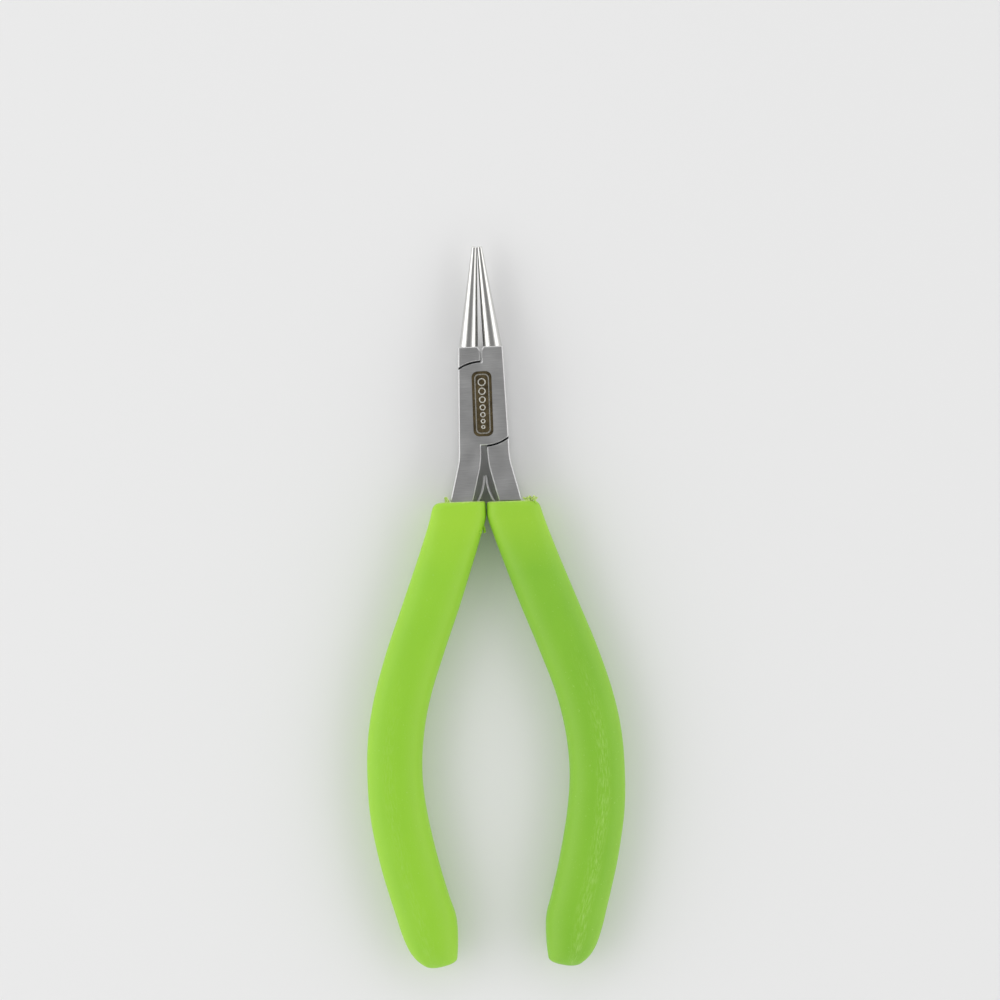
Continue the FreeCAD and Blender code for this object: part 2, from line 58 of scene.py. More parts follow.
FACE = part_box("slotted_half")[1][2]  # level of the ground front face
SHOULDER = PIVOT.y + 11.4 * MM  # where the noses rise from their blocks
GROUND_GREY = (0.63, 0.63, 0.627, 1)
POLISHED_GREY = (0.70, 0.695, 0.675, 1)
# Dark for the faces that look in towards the other half: partly their own oxide, partly painted shade for
# the gap between the halves. The seam's stain uses it too.
OXIDE_AND_SHADE = (0.018, 0.018, 0.021, 1)
NOSE_OXIDE_AND_SHADE = 0.6  # how much of the inward darkening, oxide and painted shade, is kept on the polished noses' inner sides
OXIDE_AND_SHADE_FACING = (-0.92, -0.80)  # how squarely a face looks inward, from fully dark to plain steel
# The round seam between the halves, stained dark along its lips.
SEAM_RADIUS, SEAM_STAIN = 8.42 * MM, 0.21 * MM
LEVEL_FACE = (0.4, 0.6)  # how squarely a face looks up or down before the seam's stain shows on it
SHOULDER_BLEND = 0.1 * MM
# Grains per metre, across the pliers, along them and through them.
FINE_LINES, BROAD_LINES, CLOUDS = (420, 15000, 900), (160, 3200, 500), (260, 260, 260)
LINE_DEPTH = 0.006 * MM


class Nodes:
    """A tree of nodes, built one node at a time."""

    def __init__(self, group):
        self.group = group

    def join(self, value, socket):
        """Links an output to a socket, or gives the socket a plain value."""
        if isinstance(value, bpy.types.NodeSocket):
            self.group.links.new(value, socket)
        else:
            socket.default_value = value

    def node(self, kind, *values, out=0, settings=None, **named):
        """A node with its settings and inputs given; returns one of its outputs."""
        made = self.group.nodes.new(kind)
        for prop, setting in (settings or {}).items():
            setattr(made, prop, setting)
        for index, value in enumerate(values):
            if value is not None:
                self.join(value, made.inputs[index])
        for word, value in named.items():
            self.join(value, made.inputs[word.replace("_", " ")])
        return made.outputs[out]

    def maths(self, operation, *values):
        return self.node("ShaderNodeMath", *values, settings={"operation": operation})

    def apart(self, vector):
        """A vector's X, Y and Z."""
        return self.node("ShaderNodeSeparateXYZ", vector).node.outputs


class Look(Nodes):
    """The nodes of a material, or of the surround, that lead to its shader."""

    MIX_FIRST, MIX_SECOND, MIX_OUT = 6, 7, 2  # the mix node's own sockets for colours

    def __init__(self, owner, shader, output):
        owner.use_nodes = True
        super().__init__(owner.node_tree)
        self.group.nodes.clear()
        self.shader = self.group.nodes.new(shader)
        end = self.group.nodes.new(output)
        self.join(self.shader.outputs[0], end.inputs["Surface"])

    def give(self, **values):
        """Sets or links inputs of the shader itself."""
        for word, value in values.items():
            self.join(value, self.shader.inputs[word.replace("_", " ")])

    def place(self):
        """Where a point of the surface is, in the piece's own metres."""
        return self.node("ShaderNodeTexCoord", out="Object")

    def facing(self):
        """Which way the surface looks there."""
        return self.node("ShaderNodeTexCoord", out="Normal")

    def noise(self, vector, detail, roughness):
        return self.node("ShaderNodeTexNoise", vector, Scale=1.0, Detail=detail, Roughness=roughness)

    def placed_noise(self, grains, detail=2.0, roughness=0.5):
        """Noise over the piece, with its own number of grains per metre each way."""
        return self.noise(self.node("ShaderNodeMapping", self.place(), Scale=grains), detail, roughness)

    def ranged(self, value, low, high, to_low, to_high):
        """A value carried from one range to another and held inside it."""
        return self.node("ShaderNodeMapRange", value, low, high, to_low, to_high)

    def mixed(self, share, first, second):
        """A mix of two colours."""
        mix = self.node("ShaderNodeMix", share, settings={"data_type": "RGBA"}).node
        self.join(first, mix.inputs[self.MIX_FIRST])
        self.join(second, mix.inputs[self.MIX_SECOND])
        return mix.outputs[self.MIX_OUT]

    def bumped(self, height, distance):
        self.give(Normal=self.node("ShaderNodeBump", Strength=1.0, Distance=distance, Height=height))


def new_material(name):
    material = bpy.data.materials.new(name)
    return material, Look(material, "ShaderNodeBsdfPrincipled", "ShaderNodeOutputMaterial")


def oxide_and_shade_mask(look):
    """One on faces that look in towards the middle plane, which get oxide and painted shade; nought
    elsewhere.
    """
    side = look.maths("SIGN", look.maths("SUBTRACT", look.apart(look.place())["X"], PIVOT.x))
    inward = look.maths("MULTIPLY", look.apart(look.facing())["X"], side)
    return look.ranged(inward, *OXIDE_AND_SHADE_FACING, 1.0, 0.0)


def seam_mask(look):
    """One on the faces along the lips of the two seams, which lie to the upper left and the lower right."""
    place = look.apart(look.place())
    across = look.maths("SUBTRACT", place["X"], PIVOT.x)
    upward = look.maths("SUBTRACT", place["Y"], PIVOT.y)
    flat = look.node("ShaderNodeCombineXYZ", across, upward)
    radius = look.node("ShaderNodeVectorMath", flat, out="Value", settings={"operation": "LENGTH"})
    off = look.maths("ABSOLUTE", look.maths("SUBTRACT", radius, SEAM_RADIUS))
    near = look.ranged(off, 0.6 * SEAM_STAIN, SEAM_STAIN, 1.0, 0.0)
    opposite = look.maths("LESS_THAN", look.maths("MULTIPLY", across, upward), 0.0)
    level = look.maths("ABSOLUTE", look.apart(look.facing())["Z"])
    level = look.ranged(level, *LEVEL_FACE, 0.0, 1.0)
    return look.maths("MULTIPLY", look.maths("MULTIPLY", near, opposite), level)


def ground_steel(name, tint, oxide_and_shade=True):
    """Satin steel with fine grinding lines across its width, a polished nose above the shoulder, and dark
    oxide and painted shade on the faces that look in towards the other half."""
    material, look = new_material(name)
    below, above = SHOULDER - SHOULDER_BLEND, SHOULDER + SHOULDER_BLEND
    on_nose = look.ranged(look.apart(look.place())["Y"], below, above, 0.0, 1.0)
    fine = look.placed_noise(FINE_LINES, detail=3.0, roughness=0.6)
    broad = look.placed_noise(BROAD_LINES, detail=2.0, roughness=0.6)
    cloudy = look.placed_noise(CLOUDS, detail=3.0)
    lines = look.maths("ADD", fine, look.maths("MULTIPLY", broad, 0.35))
    shade = look.ranged(lines, 0.50, 0.85, 0.0, 1.0)
    dark = tuple(c * 0.88 for c in tint[:3]) + (1,)
    light = tuple(min(1.0, c * 1.08) for c in tint[:3]) + (1,)
    colour = look.mixed(on_nose, look.mixed(shade, dark, light), POLISHED_GREY)
    # Inward faces are darkened: partly their oxide, partly painted shade where the halves hide each other.
    if oxide_and_shade:
        below_nose = look.ranged(on_nose, 0.0, 1.0, 1.0, NOSE_OXIDE_AND_SHADE)
        inward = look.maths("MULTIPLY", oxide_and_shade_mask(look), below_nose)
        colour = look.mixed(look.maths("MAXIMUM", inward, seam_mask(look)), colour, OXIDE_AND_SHADE)
    satin = look.ranged(cloudy, 0.3, 0.7, 0.30, 0.40)
    polish = look.ranged(cloudy, 0.3, 0.7, 0.16, 0.22)
    rough = look.node("ShaderNodeMix", on_nose, None, satin, polish)
    look.give(Metallic=1.0, Base_Color=colour, Roughness=rough)
    depth = look.ranged(on_nose, 0.0, 1.0, 1.0, 0.25)
    look.bumped(look.maths("MULTIPLY", lines, depth), LINE_DEPTH)
    return material


def finish_node(name, material):
    """Gives a CAD node its own finish."""
    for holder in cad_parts[name].material_slots:
        holder.material = material


half_steel = ground_steel("ground_steel", GROUND_GREY)
finish_node("slotted_half", half_steel)

# Pivot pin. A plain steel rivet through both cheeks, set and then ground off level with them, so that
# only a faint ring shows where its end is.
PIN_GREY = (0.60, 0.60, 0.595, 1)
pin_steel = ground_steel("pin_steel", PIN_GREY)
finish_node("pivot_pin", pin_steel)

# Tongue half. The second forging: the left round nose, the tongue that passes through the slot and turns
# on the pin, and the right tang. It has the same finish as the first.
finish_node("tongue_half", half_steel)

# Etched panel. A shallow acid-etched field in the front cheek, browned by the acid, with a thin bright
# border left inside its edge and a plain row of rings that grow like the loops the noses make.
PANEL_LENGTH, PANEL_WIDTH, PANEL_ROUND = 12.96 * MM, 3.96 * MM, 1.18 * MM
BORDER_INSET, BORDER_WIDTH = 0.52 * MM, 0.22 * MM
# Under the ground face: the floor of the recess, the browned film over it and the lines left standing.
RECESS_FLOOR, FILM, LINE_LEVEL = FACE - 0.049 * MM, FACE - 0.045 * MM, FACE - 0.012 * MM
DARK_BROWN, LIGHT_BROWN = (0.038, 0.027, 0.010, 1), (0.115, 0.088, 0.040, 1)
DULL_LINE, BRIGHT_LINE = (0.40, 0.385, 0.33, 1), (0.62, 0.61, 0.57, 1)
ETCH_DEPTH = 0.01 * MM
RING_COUNT = 7
RING_SMALL, RING_GROWTH, RING_WALL, RING_APART = 0.30 * MM, 0.065 * MM, 0.21 * MM, 0.50 * MM
ROW_DROP = 0.15 * MM  # centres the row between the border's ends, as the top ring is the largest


def rounded_loop(width, length, radius, steps=7):
    """Points round a rectangle with round corners."""
    points = []
    for corner, (sx, sy) in enumerate(((1, 1), (-1, 1), (-1, -1), (1, -1))):
        for step in range(steps):
            turn = math.pi / 2 * (corner + step / (steps - 1))
            x = sx * (width / 2 - radius) + radius * math.cos(turn)
            y = sy * (length / 2 - radius) + radius * math.sin(turn)
            points.append((x, y))
    return points


def made_mesh(name, points, faces):
    mesh = bpy.data.meshes.new(name)
    mesh.from_pydata(points, [], faces)
    mesh.validate()
    mesh.update()
    return mesh


def new_piece(name, mesh, material=None):
    piece = bpy.data.objects.new(name, mesh)
    bpy.context.scene.collection.objects.link(piece)
    if material is not None:
        mesh.materials.clear()
        mesh.materials.append(material)
    return piece


def plate(name, loop, low, high, material):
    """A flat plate with a given outline, closed all round."""
    count = len(loop)
    points = [(PIVOT.x + x, PIVOT.y + y, z) for z in (low, high) for x, y in loop]
    faces = [tuple(reversed(range(count))), tuple(range(count, 2 * count))]
    faces += [(k, (k + 1) % count, count + (k + 1) % count, count + k) for k in range(count)]
    return new_piece(name, made_mesh(name, points, faces), material)


def frame_strip(name, outer, inner, low, high, material):
    """A flat band between two outlines with the same number of points."""
    count = len(outer)
    points = [(PIVOT.x + x, PIVOT.y + y, z) for z in (low, high) for x, y in outer + inner]
    faces = []
    for k in range(count):
        a, b, c, d = k, (k + 1) % count, count + (k + 1) % count, count + k
        top = 2 * count
        faces += [(a, d, c, b), (top + a, top + b, top + c, top + d)]
        faces += [(a, b, top + b, top + a), (d, top + d, top + c, c)]
    return new_piece(name, made_mesh(name, points, faces), material)


def etched_brown():
    """Steel eaten dull and brown by acid, mottled finely and in patches."""
    material, look = new_material("etched_brown")
    mottle = look.placed_noise((2600, 2600, 2600), detail=4.0, roughness=0.65)
    patches = look.placed_noise((420, 420, 420))
    share = look.ranged(look.maths("ADD", mottle, patches), 0.75, 1.25, 0.0, 1.0)
    look.give(
        Metallic=0.55, Base_Color=look.mixed(share, DARK_BROWN, LIGHT_BROWN),
        Roughness=look.ranged(mottle, 0.3, 0.7, 0.45, 0.62),
    )
    look.bumped(mottle, ETCH_DEPTH)
    return material


def bright_line():
    """The ground surface that the acid left standing."""
    material, look = new_material("bright_line")
    share = look.ranged(look.placed_noise((5200, 5200, 5200)), 0.35, 0.65, 0.0, 1.0)
    look.give(Metallic=1.0, Base_Color=look.mixed(share, DULL_LINE, BRIGHT_LINE), Roughness=0.4)
    return material


brown, bright = etched_brown(), bright_line()


def inset_loop(inset):
    """The panel's outline moved in, with its corners a little tighter."""
    return rounded_loop(PANEL_WIDTH - 2 * inset, PANEL_LENGTH - 2 * inset, PANEL_ROUND - 0.6 * inset)


panel = plate("etched_panel", inset_loop(0), RECESS_FLOOR, FILM, brown)
border_outer, border_inner = inset_loop(BORDER_INSET), inset_loop(BORDER_INSET + BORDER_WIDTH)
border = frame_strip("etched_border", border_outer, border_inner, FILM, LINE_LEVEL, bright)


class Tree(Nodes):
    """A Geometry Nodes tree with named inputs."""

    KINDS = {"size": "NodeSocketFloat", "count": "NodeSocketInt"}

    def __init__(self, name, **inputs):
        super().__init__(bpy.data.node_groups.new(name, "GeometryNodeTree"))
        face = self.group.interface
        face.new_socket("Geometry", in_out="INPUT", socket_type="NodeSocketGeometry")
        for word, kind in inputs.items():
            face.new_socket(word, in_out="INPUT", socket_type=self.KINDS[kind])
        face.new_socket("Finish", in_out="INPUT", socket_type="NodeSocketMaterial")
        face.new_socket("Geometry", in_out="OUTPUT", socket_type="NodeSocketGeometry")
        self.start = self.group.nodes.new("NodeGroupInput")
        self.end = self.group.nodes.new("NodeGroupOutput")

    def given(self, word):
        return self.start.outputs[word]

    def store(self, geometry, name, value, data_type="FLOAT"):
        return self.node(
            "GeometryNodeStoreNamedAttribute", Geometry=geometry, Name=name, Value=value,
            settings={"data_type": data_type, "domain": "POINT"},
        )

    def read(self, name, data_type="FLOAT"):
        return self.node("GeometryNodeInputNamedAttribute", Name=name, settings={"data_type": data_type})

    def finish(self, geometry):
        """Make instances real, give them their material and hand the result out."""
        real = self.node("GeometryNodeRealizeInstances", geometry)
        done = self.node("GeometryNodeSetMaterial", Geometry=real, Material=self.given("Finish"))
        self.group.links.new(done, self.end.inputs["Geometry"])


def grown(name, base, tree, material, **sizes):
    """Runs a tree over a base object and keeps only the plain mesh that it makes."""
    modifier = base.modifiers.new("grow", "NODES")
    modifier.node_group = tree.group
    given = {**sizes, "Finish": material}
    for item in tree.group.interface.items_tree:
        if item.in_out == "INPUT" and item.name in given:
            modifier[item.identifier] = given[item.name]
    bpy.context.view_layer.update()
    made = base.evaluated_get(bpy.context.evaluated_depsgraph_get())
    mesh = bpy.data.meshes.new_from_object(made)
    mesh.name = name
    base.modifiers.clear()
    bpy.data.objects.remove(base)
    return new_piece(name, mesh, material)


def ring_row_tree():
    """Flat rings in a row, each a step larger than the one before, with the same space between them."""
    tree = Tree(
        "ring_row", Count="count", Small="size", Growth="size", Wall="size", Apart="size", Height="size"
    )
    index = tree.node("GeometryNodeInputIndex")
    radius = tree.maths("ADD", tree.given("Small"), tree.maths("MULTIPLY", index, tree.given("Growth")))
    step = tree.maths("ADD", tree.maths("MULTIPLY", tree.given("Small"), 2.0), tree.given("Apart"))
    even = tree.maths("MULTIPLY", index, step)
    grown_by = tree.maths("MULTIPLY", tree.maths("MULTIPLY", index, index), tree.given("Growth"))
    row = tree.node("GeometryNodeMeshLine", tree.given("Count"), settings={"mode": "OFFSET"})
    spot = tree.node("ShaderNodeCombineXYZ", Y=tree.maths("ADD", even, grown_by))
    row = tree.node("GeometryNodeSetPosition", row, Position=spot)
    ring = tree.node("GeometryNodeCurvePrimitiveCircle", Resolution=28, Radius=1.0)
    rings = tree.node("GeometryNodeInstanceOnPoints", Points=row, Instance=ring, Scale=radius)
    loops = tree.node("GeometryNodeRealizeInstances", rings)
    section = tree.node("GeometryNodeCurvePrimitiveQuadrilateral", tree.given("Wall"), tree.given("Height"))
    tree.finish(tree.node("GeometryNodeCurveToMesh", Curve=loops, Profile_Curve=section))
    return tree


rings = grown(
    "etched_rings", new_piece("ring_seed", bpy.data.meshes.new("ring_seed")), ring_row_tree(), bright,
    Count=RING_COUNT, Small=RING_SMALL, Growth=RING_GROWTH, Wall=RING_WALL, Apart=RING_APART,
    Height=LINE_LEVEL - FILM,
)
row_length = (RING_COUNT - 1) * (2 * RING_SMALL + RING_APART) + (RING_COUNT - 1) ** 2 * RING_GROWTH
for vertex in rings.data.vertices:
    vertex.co += Vector((PIVOT.x, PIVOT.y - row_length / 2 - ROW_DROP, (FILM + LINE_LEVEL) / 2))
for piece in (panel, border, rings):
    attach(piece, "slotted_side")

# Leaf springs. Two strips of bright rolled spring steel, one riveted to each tang, that cross the gap in
# the crotch and press their free ends together.
SPRING_THICK, SPRING_WIDE, SPRING_EDGE = 0.45 * MM, 4.4 * MM, 0.10 * MM
# Places from the pivot, in millimetres: the free end, the bow's radius, its lean in degrees where it
# straightens, the kink at the tang and the end of the foot.
SPRING_TIP, SPRING_BOW, SPRING_LEAN = (0.253, -14.3), 10.0, 32.0
SPRING_KINK, SPRING_END = (2.78, -21.26), (4.00, -26.2)
BOW_STEPS, RISE_STEPS, FOOT_STEPS = 18, 4, 5
BODY_OF = {"left": "slotted_side", "right": "tongue_side"}
WAY = {"left": -1.0, "right": 1.0}


def strip_path(way):
    """From the free end round the bow to the kink, then down the tang to the end of the foot."""
    path = []
    for step in range(BOW_STEPS + 1):
        turn = math.radians(SPRING_LEAN * step / BOW_STEPS)
        path.append((
            SPRING_TIP[0] + SPRING_BOW * (1 - math.cos(turn)),
            SPRING_TIP[1] - SPRING_BOW * math.sin(turn),
        ))
    straights = ((path[-1], SPRING_KINK, RISE_STEPS), (SPRING_KINK, SPRING_END, FOOT_STEPS))
    for first, last, count in straights:
        for step in range(1, count + 1):
            share = step / count
            path.append(tuple(a + (b - a) * share for a, b in zip(first, last)))
    return [(PIVOT.x + way * x * MM, PIVOT.y + y * MM, PIVOT.z) for x, y in path]


def strip_tree():
    """Runs a flat section with softened edges along a path."""
    tree = Tree("spring_strip", Thick="size", Wide="size", Edge="size")
    path = tree.node("GeometryNodeMeshToCurve", tree.given("Geometry"))
    section = tree.node("GeometryNodeCurvePrimitiveQuadrilateral", tree.given("Thick"), tree.given("Wide"))
    section = tree.node(
        "GeometryNodeFilletCurve", Curve=section, Radius=tree.given("Edge"), Count=2,
        settings={"mode": "POLY"},
    )
    strip = tree.node("GeometryNodeCurveToMesh", Curve=path, Profile_Curve=section, Fill_Caps=True)
    tree.finish(strip)
    return tree


def turned_out(piece):
    """Turns every face of a closed piece outwards."""
    work = bmesh.new()
    work.from_mesh(piece.data)
    bmesh.ops.recalc_face_normals(work, faces=work.faces)
    work.to_mesh(piece.data)
    work.free()


SPRING_GREY = (0.66, 0.66, 0.65, 1)
spring_steel = ground_steel("spring_strip", SPRING_GREY, oxide_and_shade=False)
strip = strip_tree()
for side, way in WAY.items():
    path = strip_path(way)
    line = bpy.data.meshes.new(side + "_path")
    line.from_pydata(path, [(k, k + 1) for k in range(len(path) - 1)], [])
    leaf = grown(
        side + "_leaf", new_piece(side + "_path", line), strip, spring_steel,
        Thick=SPRING_THICK, Wide=SPRING_WIDE, Edge=SPRING_EDGE,
    )
    turned_out(leaf)
    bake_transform(leaf)
    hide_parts(side + "_leaf_spring")

# Spring rivets. Small domed steel rivets that hold each strip's foot on its tang. They are driven into
# the tang before the sleeve goes on, and stay inside its mouth.
RIVET_GREY = (0.55, 0.55, 0.54, 1)
rivet_steel = ground_steel("rivet_steel", RIVET_GREY)
for side in ("left", "right"):
    finish_node(side + "_spring_rivet", rivet_steel)

# Grips. Lime sleeves moulded in one soft piece and pushed on over the tangs. Each is oval in section,
# bows outward for the palm and ends in a toe with a straight inner side. The mouth is trimmed by hand.
MOUTH = {"left": 19.35, "right": 19.5}
# Ribs from the mouth to the toe, in millimetres: how far each is down from the pivot, its inner and outer
# sides from the middle plane, and half its thickness.
BODY_RIBS = (
    (22.6, 0.12, 11.35, 4.78),
    (25.6, 1.05, 12.35, 4.80),
    (31.0, 2.85, 14.30, 4.80),
    (40.0, 5.98, 17.70, 4.80),
    (49.0, 9.36, 21.10, 4.80),
    (58.0, 12.48, 23.85, 4.80),
    (66.0, 14.18, 25.35, 4.80),
    (74.0, 14.70, 25.75, 4.80),
    (82.0, 13.90, 25.40, 4.80),
    (91.0, 12.08, 23.85, 4.80),
    (98.0, 10.24, 22.05, 4.80),
    (101.6, 9.12, 21.02, 4.80),
    (104.5, 8.80, 20.22, 4.78),
    (107.6, 8.84, 19.10, 4.62),
    (109.6, 9.00, 18.00, 4.15),
    (110.8, 9.25, 16.95, 3.45),
    (111.5, 10.30, 16.10, 2.60),
    (112.0, 12.00, 15.30, 1.60),
    (112.28, 13.30, 14.40, 0.40),
)
# The lip and the bore are placed from the mouth, the first down from it and the second up to it.
LIP_RIBS = (
    (0.00, 0.95, 8.30, 3.30),
    (0.05, 0.38, 9.40, 4.00),
    (0.28, 0.13, 10.05, 4.40),
    (0.70, 0.06, 10.50, 4.62),
    (1.40, 0.06, 10.85, 4.74),
)
BORE_RIBS = (
    (6.0, 1.90, 7.30, 2.78),
    (3.0, 1.50, 7.42, 2.78),
    (0.8, 1.22, 7.50, 2.80),
    (0.22, 1.20, 7.62, 3.22),
)
GRIP_SQUARE, LIP_SQUARE, BORE_SQUARE = 2.5, 4.2, 6.0  # how boxy each section is; two is an ellipse
LIP_FADE = 14.0  # how far down the lip's boxier section softens into the grip's
RIB_STEP = 0.5 * MM  # between neighbouring ribs on the rail, which only has to keep them apart
SLEEVE_SIDES = 72
TOE_FROM, TOE_END = 91.0, 112.28
TOE_EXTRA = {"left": 0.0, "right": 0.5}  # the right sleeve was left a little longer at its toe


def sleeve_rail(side):
    """The line that the sleeve is lofted over: up the bore, over the lip and down to the toe."""
    ribs = [(MOUTH[side] + down, a, b, t, BORE_SQUARE) for down, a, b, t in BORE_RIBS]
    ribs += [(MOUTH[side] + down, a, b, t, LIP_SQUARE) for down, a, b, t in LIP_RIBS]
    for down, inner, outer, thick in BODY_RIBS:
        reach = max(0.0, (down - TOE_FROM) / (TOE_END - TOE_FROM))
        near_lip = max(0.0, 1 - (down - MOUTH[side]) / LIP_FADE)
        square = GRIP_SQUARE + (LIP_SQUARE - GRIP_SQUARE) * near_lip
        ribs.append((down + TOE_EXTRA[side] * reach, inner, outer, thick, square))
    return ribs


def sleeve_tree():
    """Lofts an oval section over the rail's ribs."""
    tree = Tree("sleeve", Sides="count", Way="size")
    rail = tree.node("GeometryNodeMeshToCurve", tree.given("Geometry"))
    rail = tree.node("GeometryNodeCurveSplineType", rail, settings={"spline_type": "CATMULL_ROM"})
    rail = tree.node("GeometryNodeSetSplineResolution", rail, Resolution=8)
    circle = tree.node("GeometryNodeCurvePrimitiveCircle", Resolution=tree.given("Sides"), Radius=MM)
    place = tree.apart(tree.node("GeometryNodeInputPosition"))
    circle = tree.store(circle, "turn", tree.maths("ARCTAN2", place["Y"], place["X"]))
    length = tree.node("GeometryNodeSplineParameter", out=1)
    rail = tree.store(rail, "along", length)
    loft = tree.node("GeometryNodeCurveToMesh", Curve=rail, Profile_Curve=circle, Fill_Caps=True)

    angle, power = tree.read("turn"), tree.maths("DIVIDE", 2.0, tree.read("square"))

    def swing(operation):
        wave = tree.maths(operation, angle)
        size = tree.maths("POWER", tree.maths("ABSOLUTE", wave), power)
        return tree.maths("MULTIPLY", tree.maths("SIGN", wave), size)

    middle = tree.maths("MULTIPLY", tree.maths("ADD", tree.read("inner"), tree.read("outer")), 0.5)
    half = tree.maths("MULTIPLY", tree.maths("SUBTRACT", tree.read("outer"), tree.read("inner")), 0.5)
    across = tree.maths("ADD", middle, tree.maths("MULTIPLY", half, swing("COSINE")))
    x = tree.maths("MULTIPLY", across, tree.given("Way"))
    z = tree.maths("MULTIPLY", tree.read("thick"), swing("SINE"))
    y = tree.read("down")
    spot = tree.node("ShaderNodeCombineXYZ", x, y, z)
    loft = tree.node("GeometryNodeSetPosition", loft, Position=spot)
    loft = tree.node("GeometryNodeSetShadeSmooth", loft)
    tree.finish(loft)
    return tree


def soft_lime(name, base, shade, painted_flank_light, mouth, scuff):
    """Matte moulded rubber with faint mottling, a pale torn lip, and fine scuffs down its crown. Its flanks
    are lightened with painted light.
    """
    material, look = new_material(name)
    cloudy = look.placed_noise(LIME_CLOUDS, detail=3.0, roughness=0.55)
    grain = look.placed_noise(LIME_GRAIN)
    torn = look.placed_noise(LIME_TEARS, detail=3.0, roughness=0.7)
    colour = look.mixed(look.ranged(cloudy, 0.3, 0.7, 0.0, 1.0), base, shade)

    around = look.node("ShaderNodeAttribute", out="Fac", settings={"attribute_name": "turn"})
    along = look.node("ShaderNodeAttribute", out="Fac", settings={"attribute_name": "along"})
    off_crown = look.maths("ABSOLUTE", look.maths("SUBTRACT", around, CROWN))
    # Painted light: the flanks away from the crown are made lighter, where side light falls on them.
    colour = look.mixed(look.ranged(off_crown, 0.30, 0.95, 0.0, 0.6), colour, painted_flank_light)
    crown = look.ranged(off_crown, 0.04, 0.26, 1.0, 0.0)
    crown = look.maths("MULTIPLY", crown, look.ranged(along, *SCUFF_FROM, 0.0, 1.0))
    streaks = look.node(
        "ShaderNodeCombineXYZ",
        look.maths("MULTIPLY", around, STREAKS_AROUND),
        look.maths("MULTIPLY", along, STREAKS_ALONG),
    )
    streaks = look.noise(streaks, 4.0, 0.65)
    rubbed = look.maths("MULTIPLY", crown, look.ranged(streaks, 0.46, 0.70, 0.0, scuff))
    specks = look.ranged(look.placed_noise(LIME_SPECKS, roughness=0.6), 0.66, 0.76, 0.0, 0.35)
    colour = look.mixed(look.maths("MAXIMUM", rubbed, specks), colour, PALE_LIME)
    colour = look.mixed(look.ranged(along, *WORN_TO, 0.55, 0.0), colour, YELLOW_LIME)

    level = PIVOT.y - mouth * MM
    ragged = look.maths("ADD", look.apart(look.place())["Y"], look.maths("MULTIPLY", torn, TEAR_REACH))
    lip = look.ranged(ragged, level + TORN_BAND[0], level + TORN_BAND[1], 0.0, 0.75)
    look.give(
        Base_Color=look.mixed(lip, colour, TORN_LIME),
        Roughness=look.ranged(grain, 0.3, 0.7, 0.48, 0.60),
        Specular_IOR_Level=0.35,
        Subsurface_Weight=0.12,
        Subsurface_Radius=(0.6, 1.0, 0.2),
        Subsurface_Scale=0.0012,
    )
    look.bumped(look.maths("ADD", grain, streaks), GRAIN_DEPTH)
    return material


# Grains per metre each way, and streaks for each radian round the section and each metre along it.
LIME_CLOUDS, LIME_GRAIN, LIME_TEARS = (95, 55, 95), (4200, 4200, 4200), (1500, 700, 1500)
LIME_SPECKS, STREAKS_AROUND, STREAKS_ALONG = (2700, 2000, 2700), 30.0, 520.0
TEAR_REACH, TORN_BAND, GRAIN_DEPTH = 0.7 * MM, (0.10 * MM, 0.36 * MM), 0.02 * MM
CROWN = 1.40  # angle round the section, from its outer side, where the crown is rubbed
# Lengths down the sleeve's own line, in metres: where the scuffs begin, and where the yellow mouth ends.
SCUFF_FROM, WORN_TO = (0.035, 0.060), (0.012, 0.022)
YELLOW_LIME = (0.385, 0.665, 0.040, 1)
PALE_LIME = (0.46, 0.68, 0.19, 1)
TORN_LIME = (0.60, 0.74, 0.26, 1)
# Each sleeve's base, mottle and painted flank light. The right sleeve's colours are darker and greener than
# the left's: partly its own tone, partly painted shade, as less light falls on it.
LEFT_LIME = ((0.296, 0.600, 0.034, 1), (0.272, 0.568, 0.030, 1), (0.350, 0.632, 0.052, 1))
RIGHT_LIME = ((0.234, 0.512, 0.032, 1), (0.212, 0.478, 0.028, 1), (0.285, 0.545, 0.054, 1))
grip_lime = {
    "left": soft_lime("left_lime", *LEFT_LIME, MOUTH["left"], 0.25),
    "right": soft_lime("right_lime", *RIGHT_LIME, MOUTH["right"], 0.60),
}
sleeve = sleeve_tree()


def make_sleeve(side):
    """One sleeve, lofted over its ribs and set down on its side of the middle plane."""
    ribs = sleeve_rail(side)
    points = [(0, PIVOT.y - rib[0] * MM, k * RIB_STEP) for k, rib in enumerate(ribs)]
    mesh = bpy.data.meshes.new(side + "_ribs")
    mesh.from_pydata(points, [(k, k + 1) for k in range(len(points) - 1)], [])
    columns = {
        "down": [PIVOT.y - r[0] * MM for r in ribs],
        "inner": [r[1] * MM for r in ribs],
        "outer": [r[2] * MM for r in ribs],
        "thick": [r[3] * MM for r in ribs],
        "square": [r[4] for r in ribs],
    }
    for word, values in columns.items():
        mesh.attributes.new(word, "FLOAT", "POINT").data.foreach_set("value", values)
    base = new_piece(side + "_ribs", mesh)
    piece = grown(side + "_sleeve", base, sleeve, grip_lime[side], Sides=SLEEVE_SIDES, Way=WAY[side])
    for vertex in piece.data.vertices:
        vertex.co += Vector((PIVOT.x, 0, PIVOT.z))
    turned_out(piece)
    return piece


for side in ("left", "right"):
    sleeve_piece = make_sleeve(side)
    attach(sleeve_piece, BODY_OF[side])
    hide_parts(side + "_grip")

# Trimming burrs. Where the mouths were cut by hand, thin curls of the lime rubber still hang on at the
# outer corners, one tab on the left and a fringe on the right. One long curl lies in the crotch.
CURL_WIDE, CURL_THICK = 0.40 * MM, 0.10 * MM
CURL_TURNS = (2.4, 2.4, 6.28)  # the most that a curl is turned each way, in radians
CURL_SMALLEST, CURL_LARGEST = (0.6, 0.6, 0.6), (1.25, 1.25, 1.4)
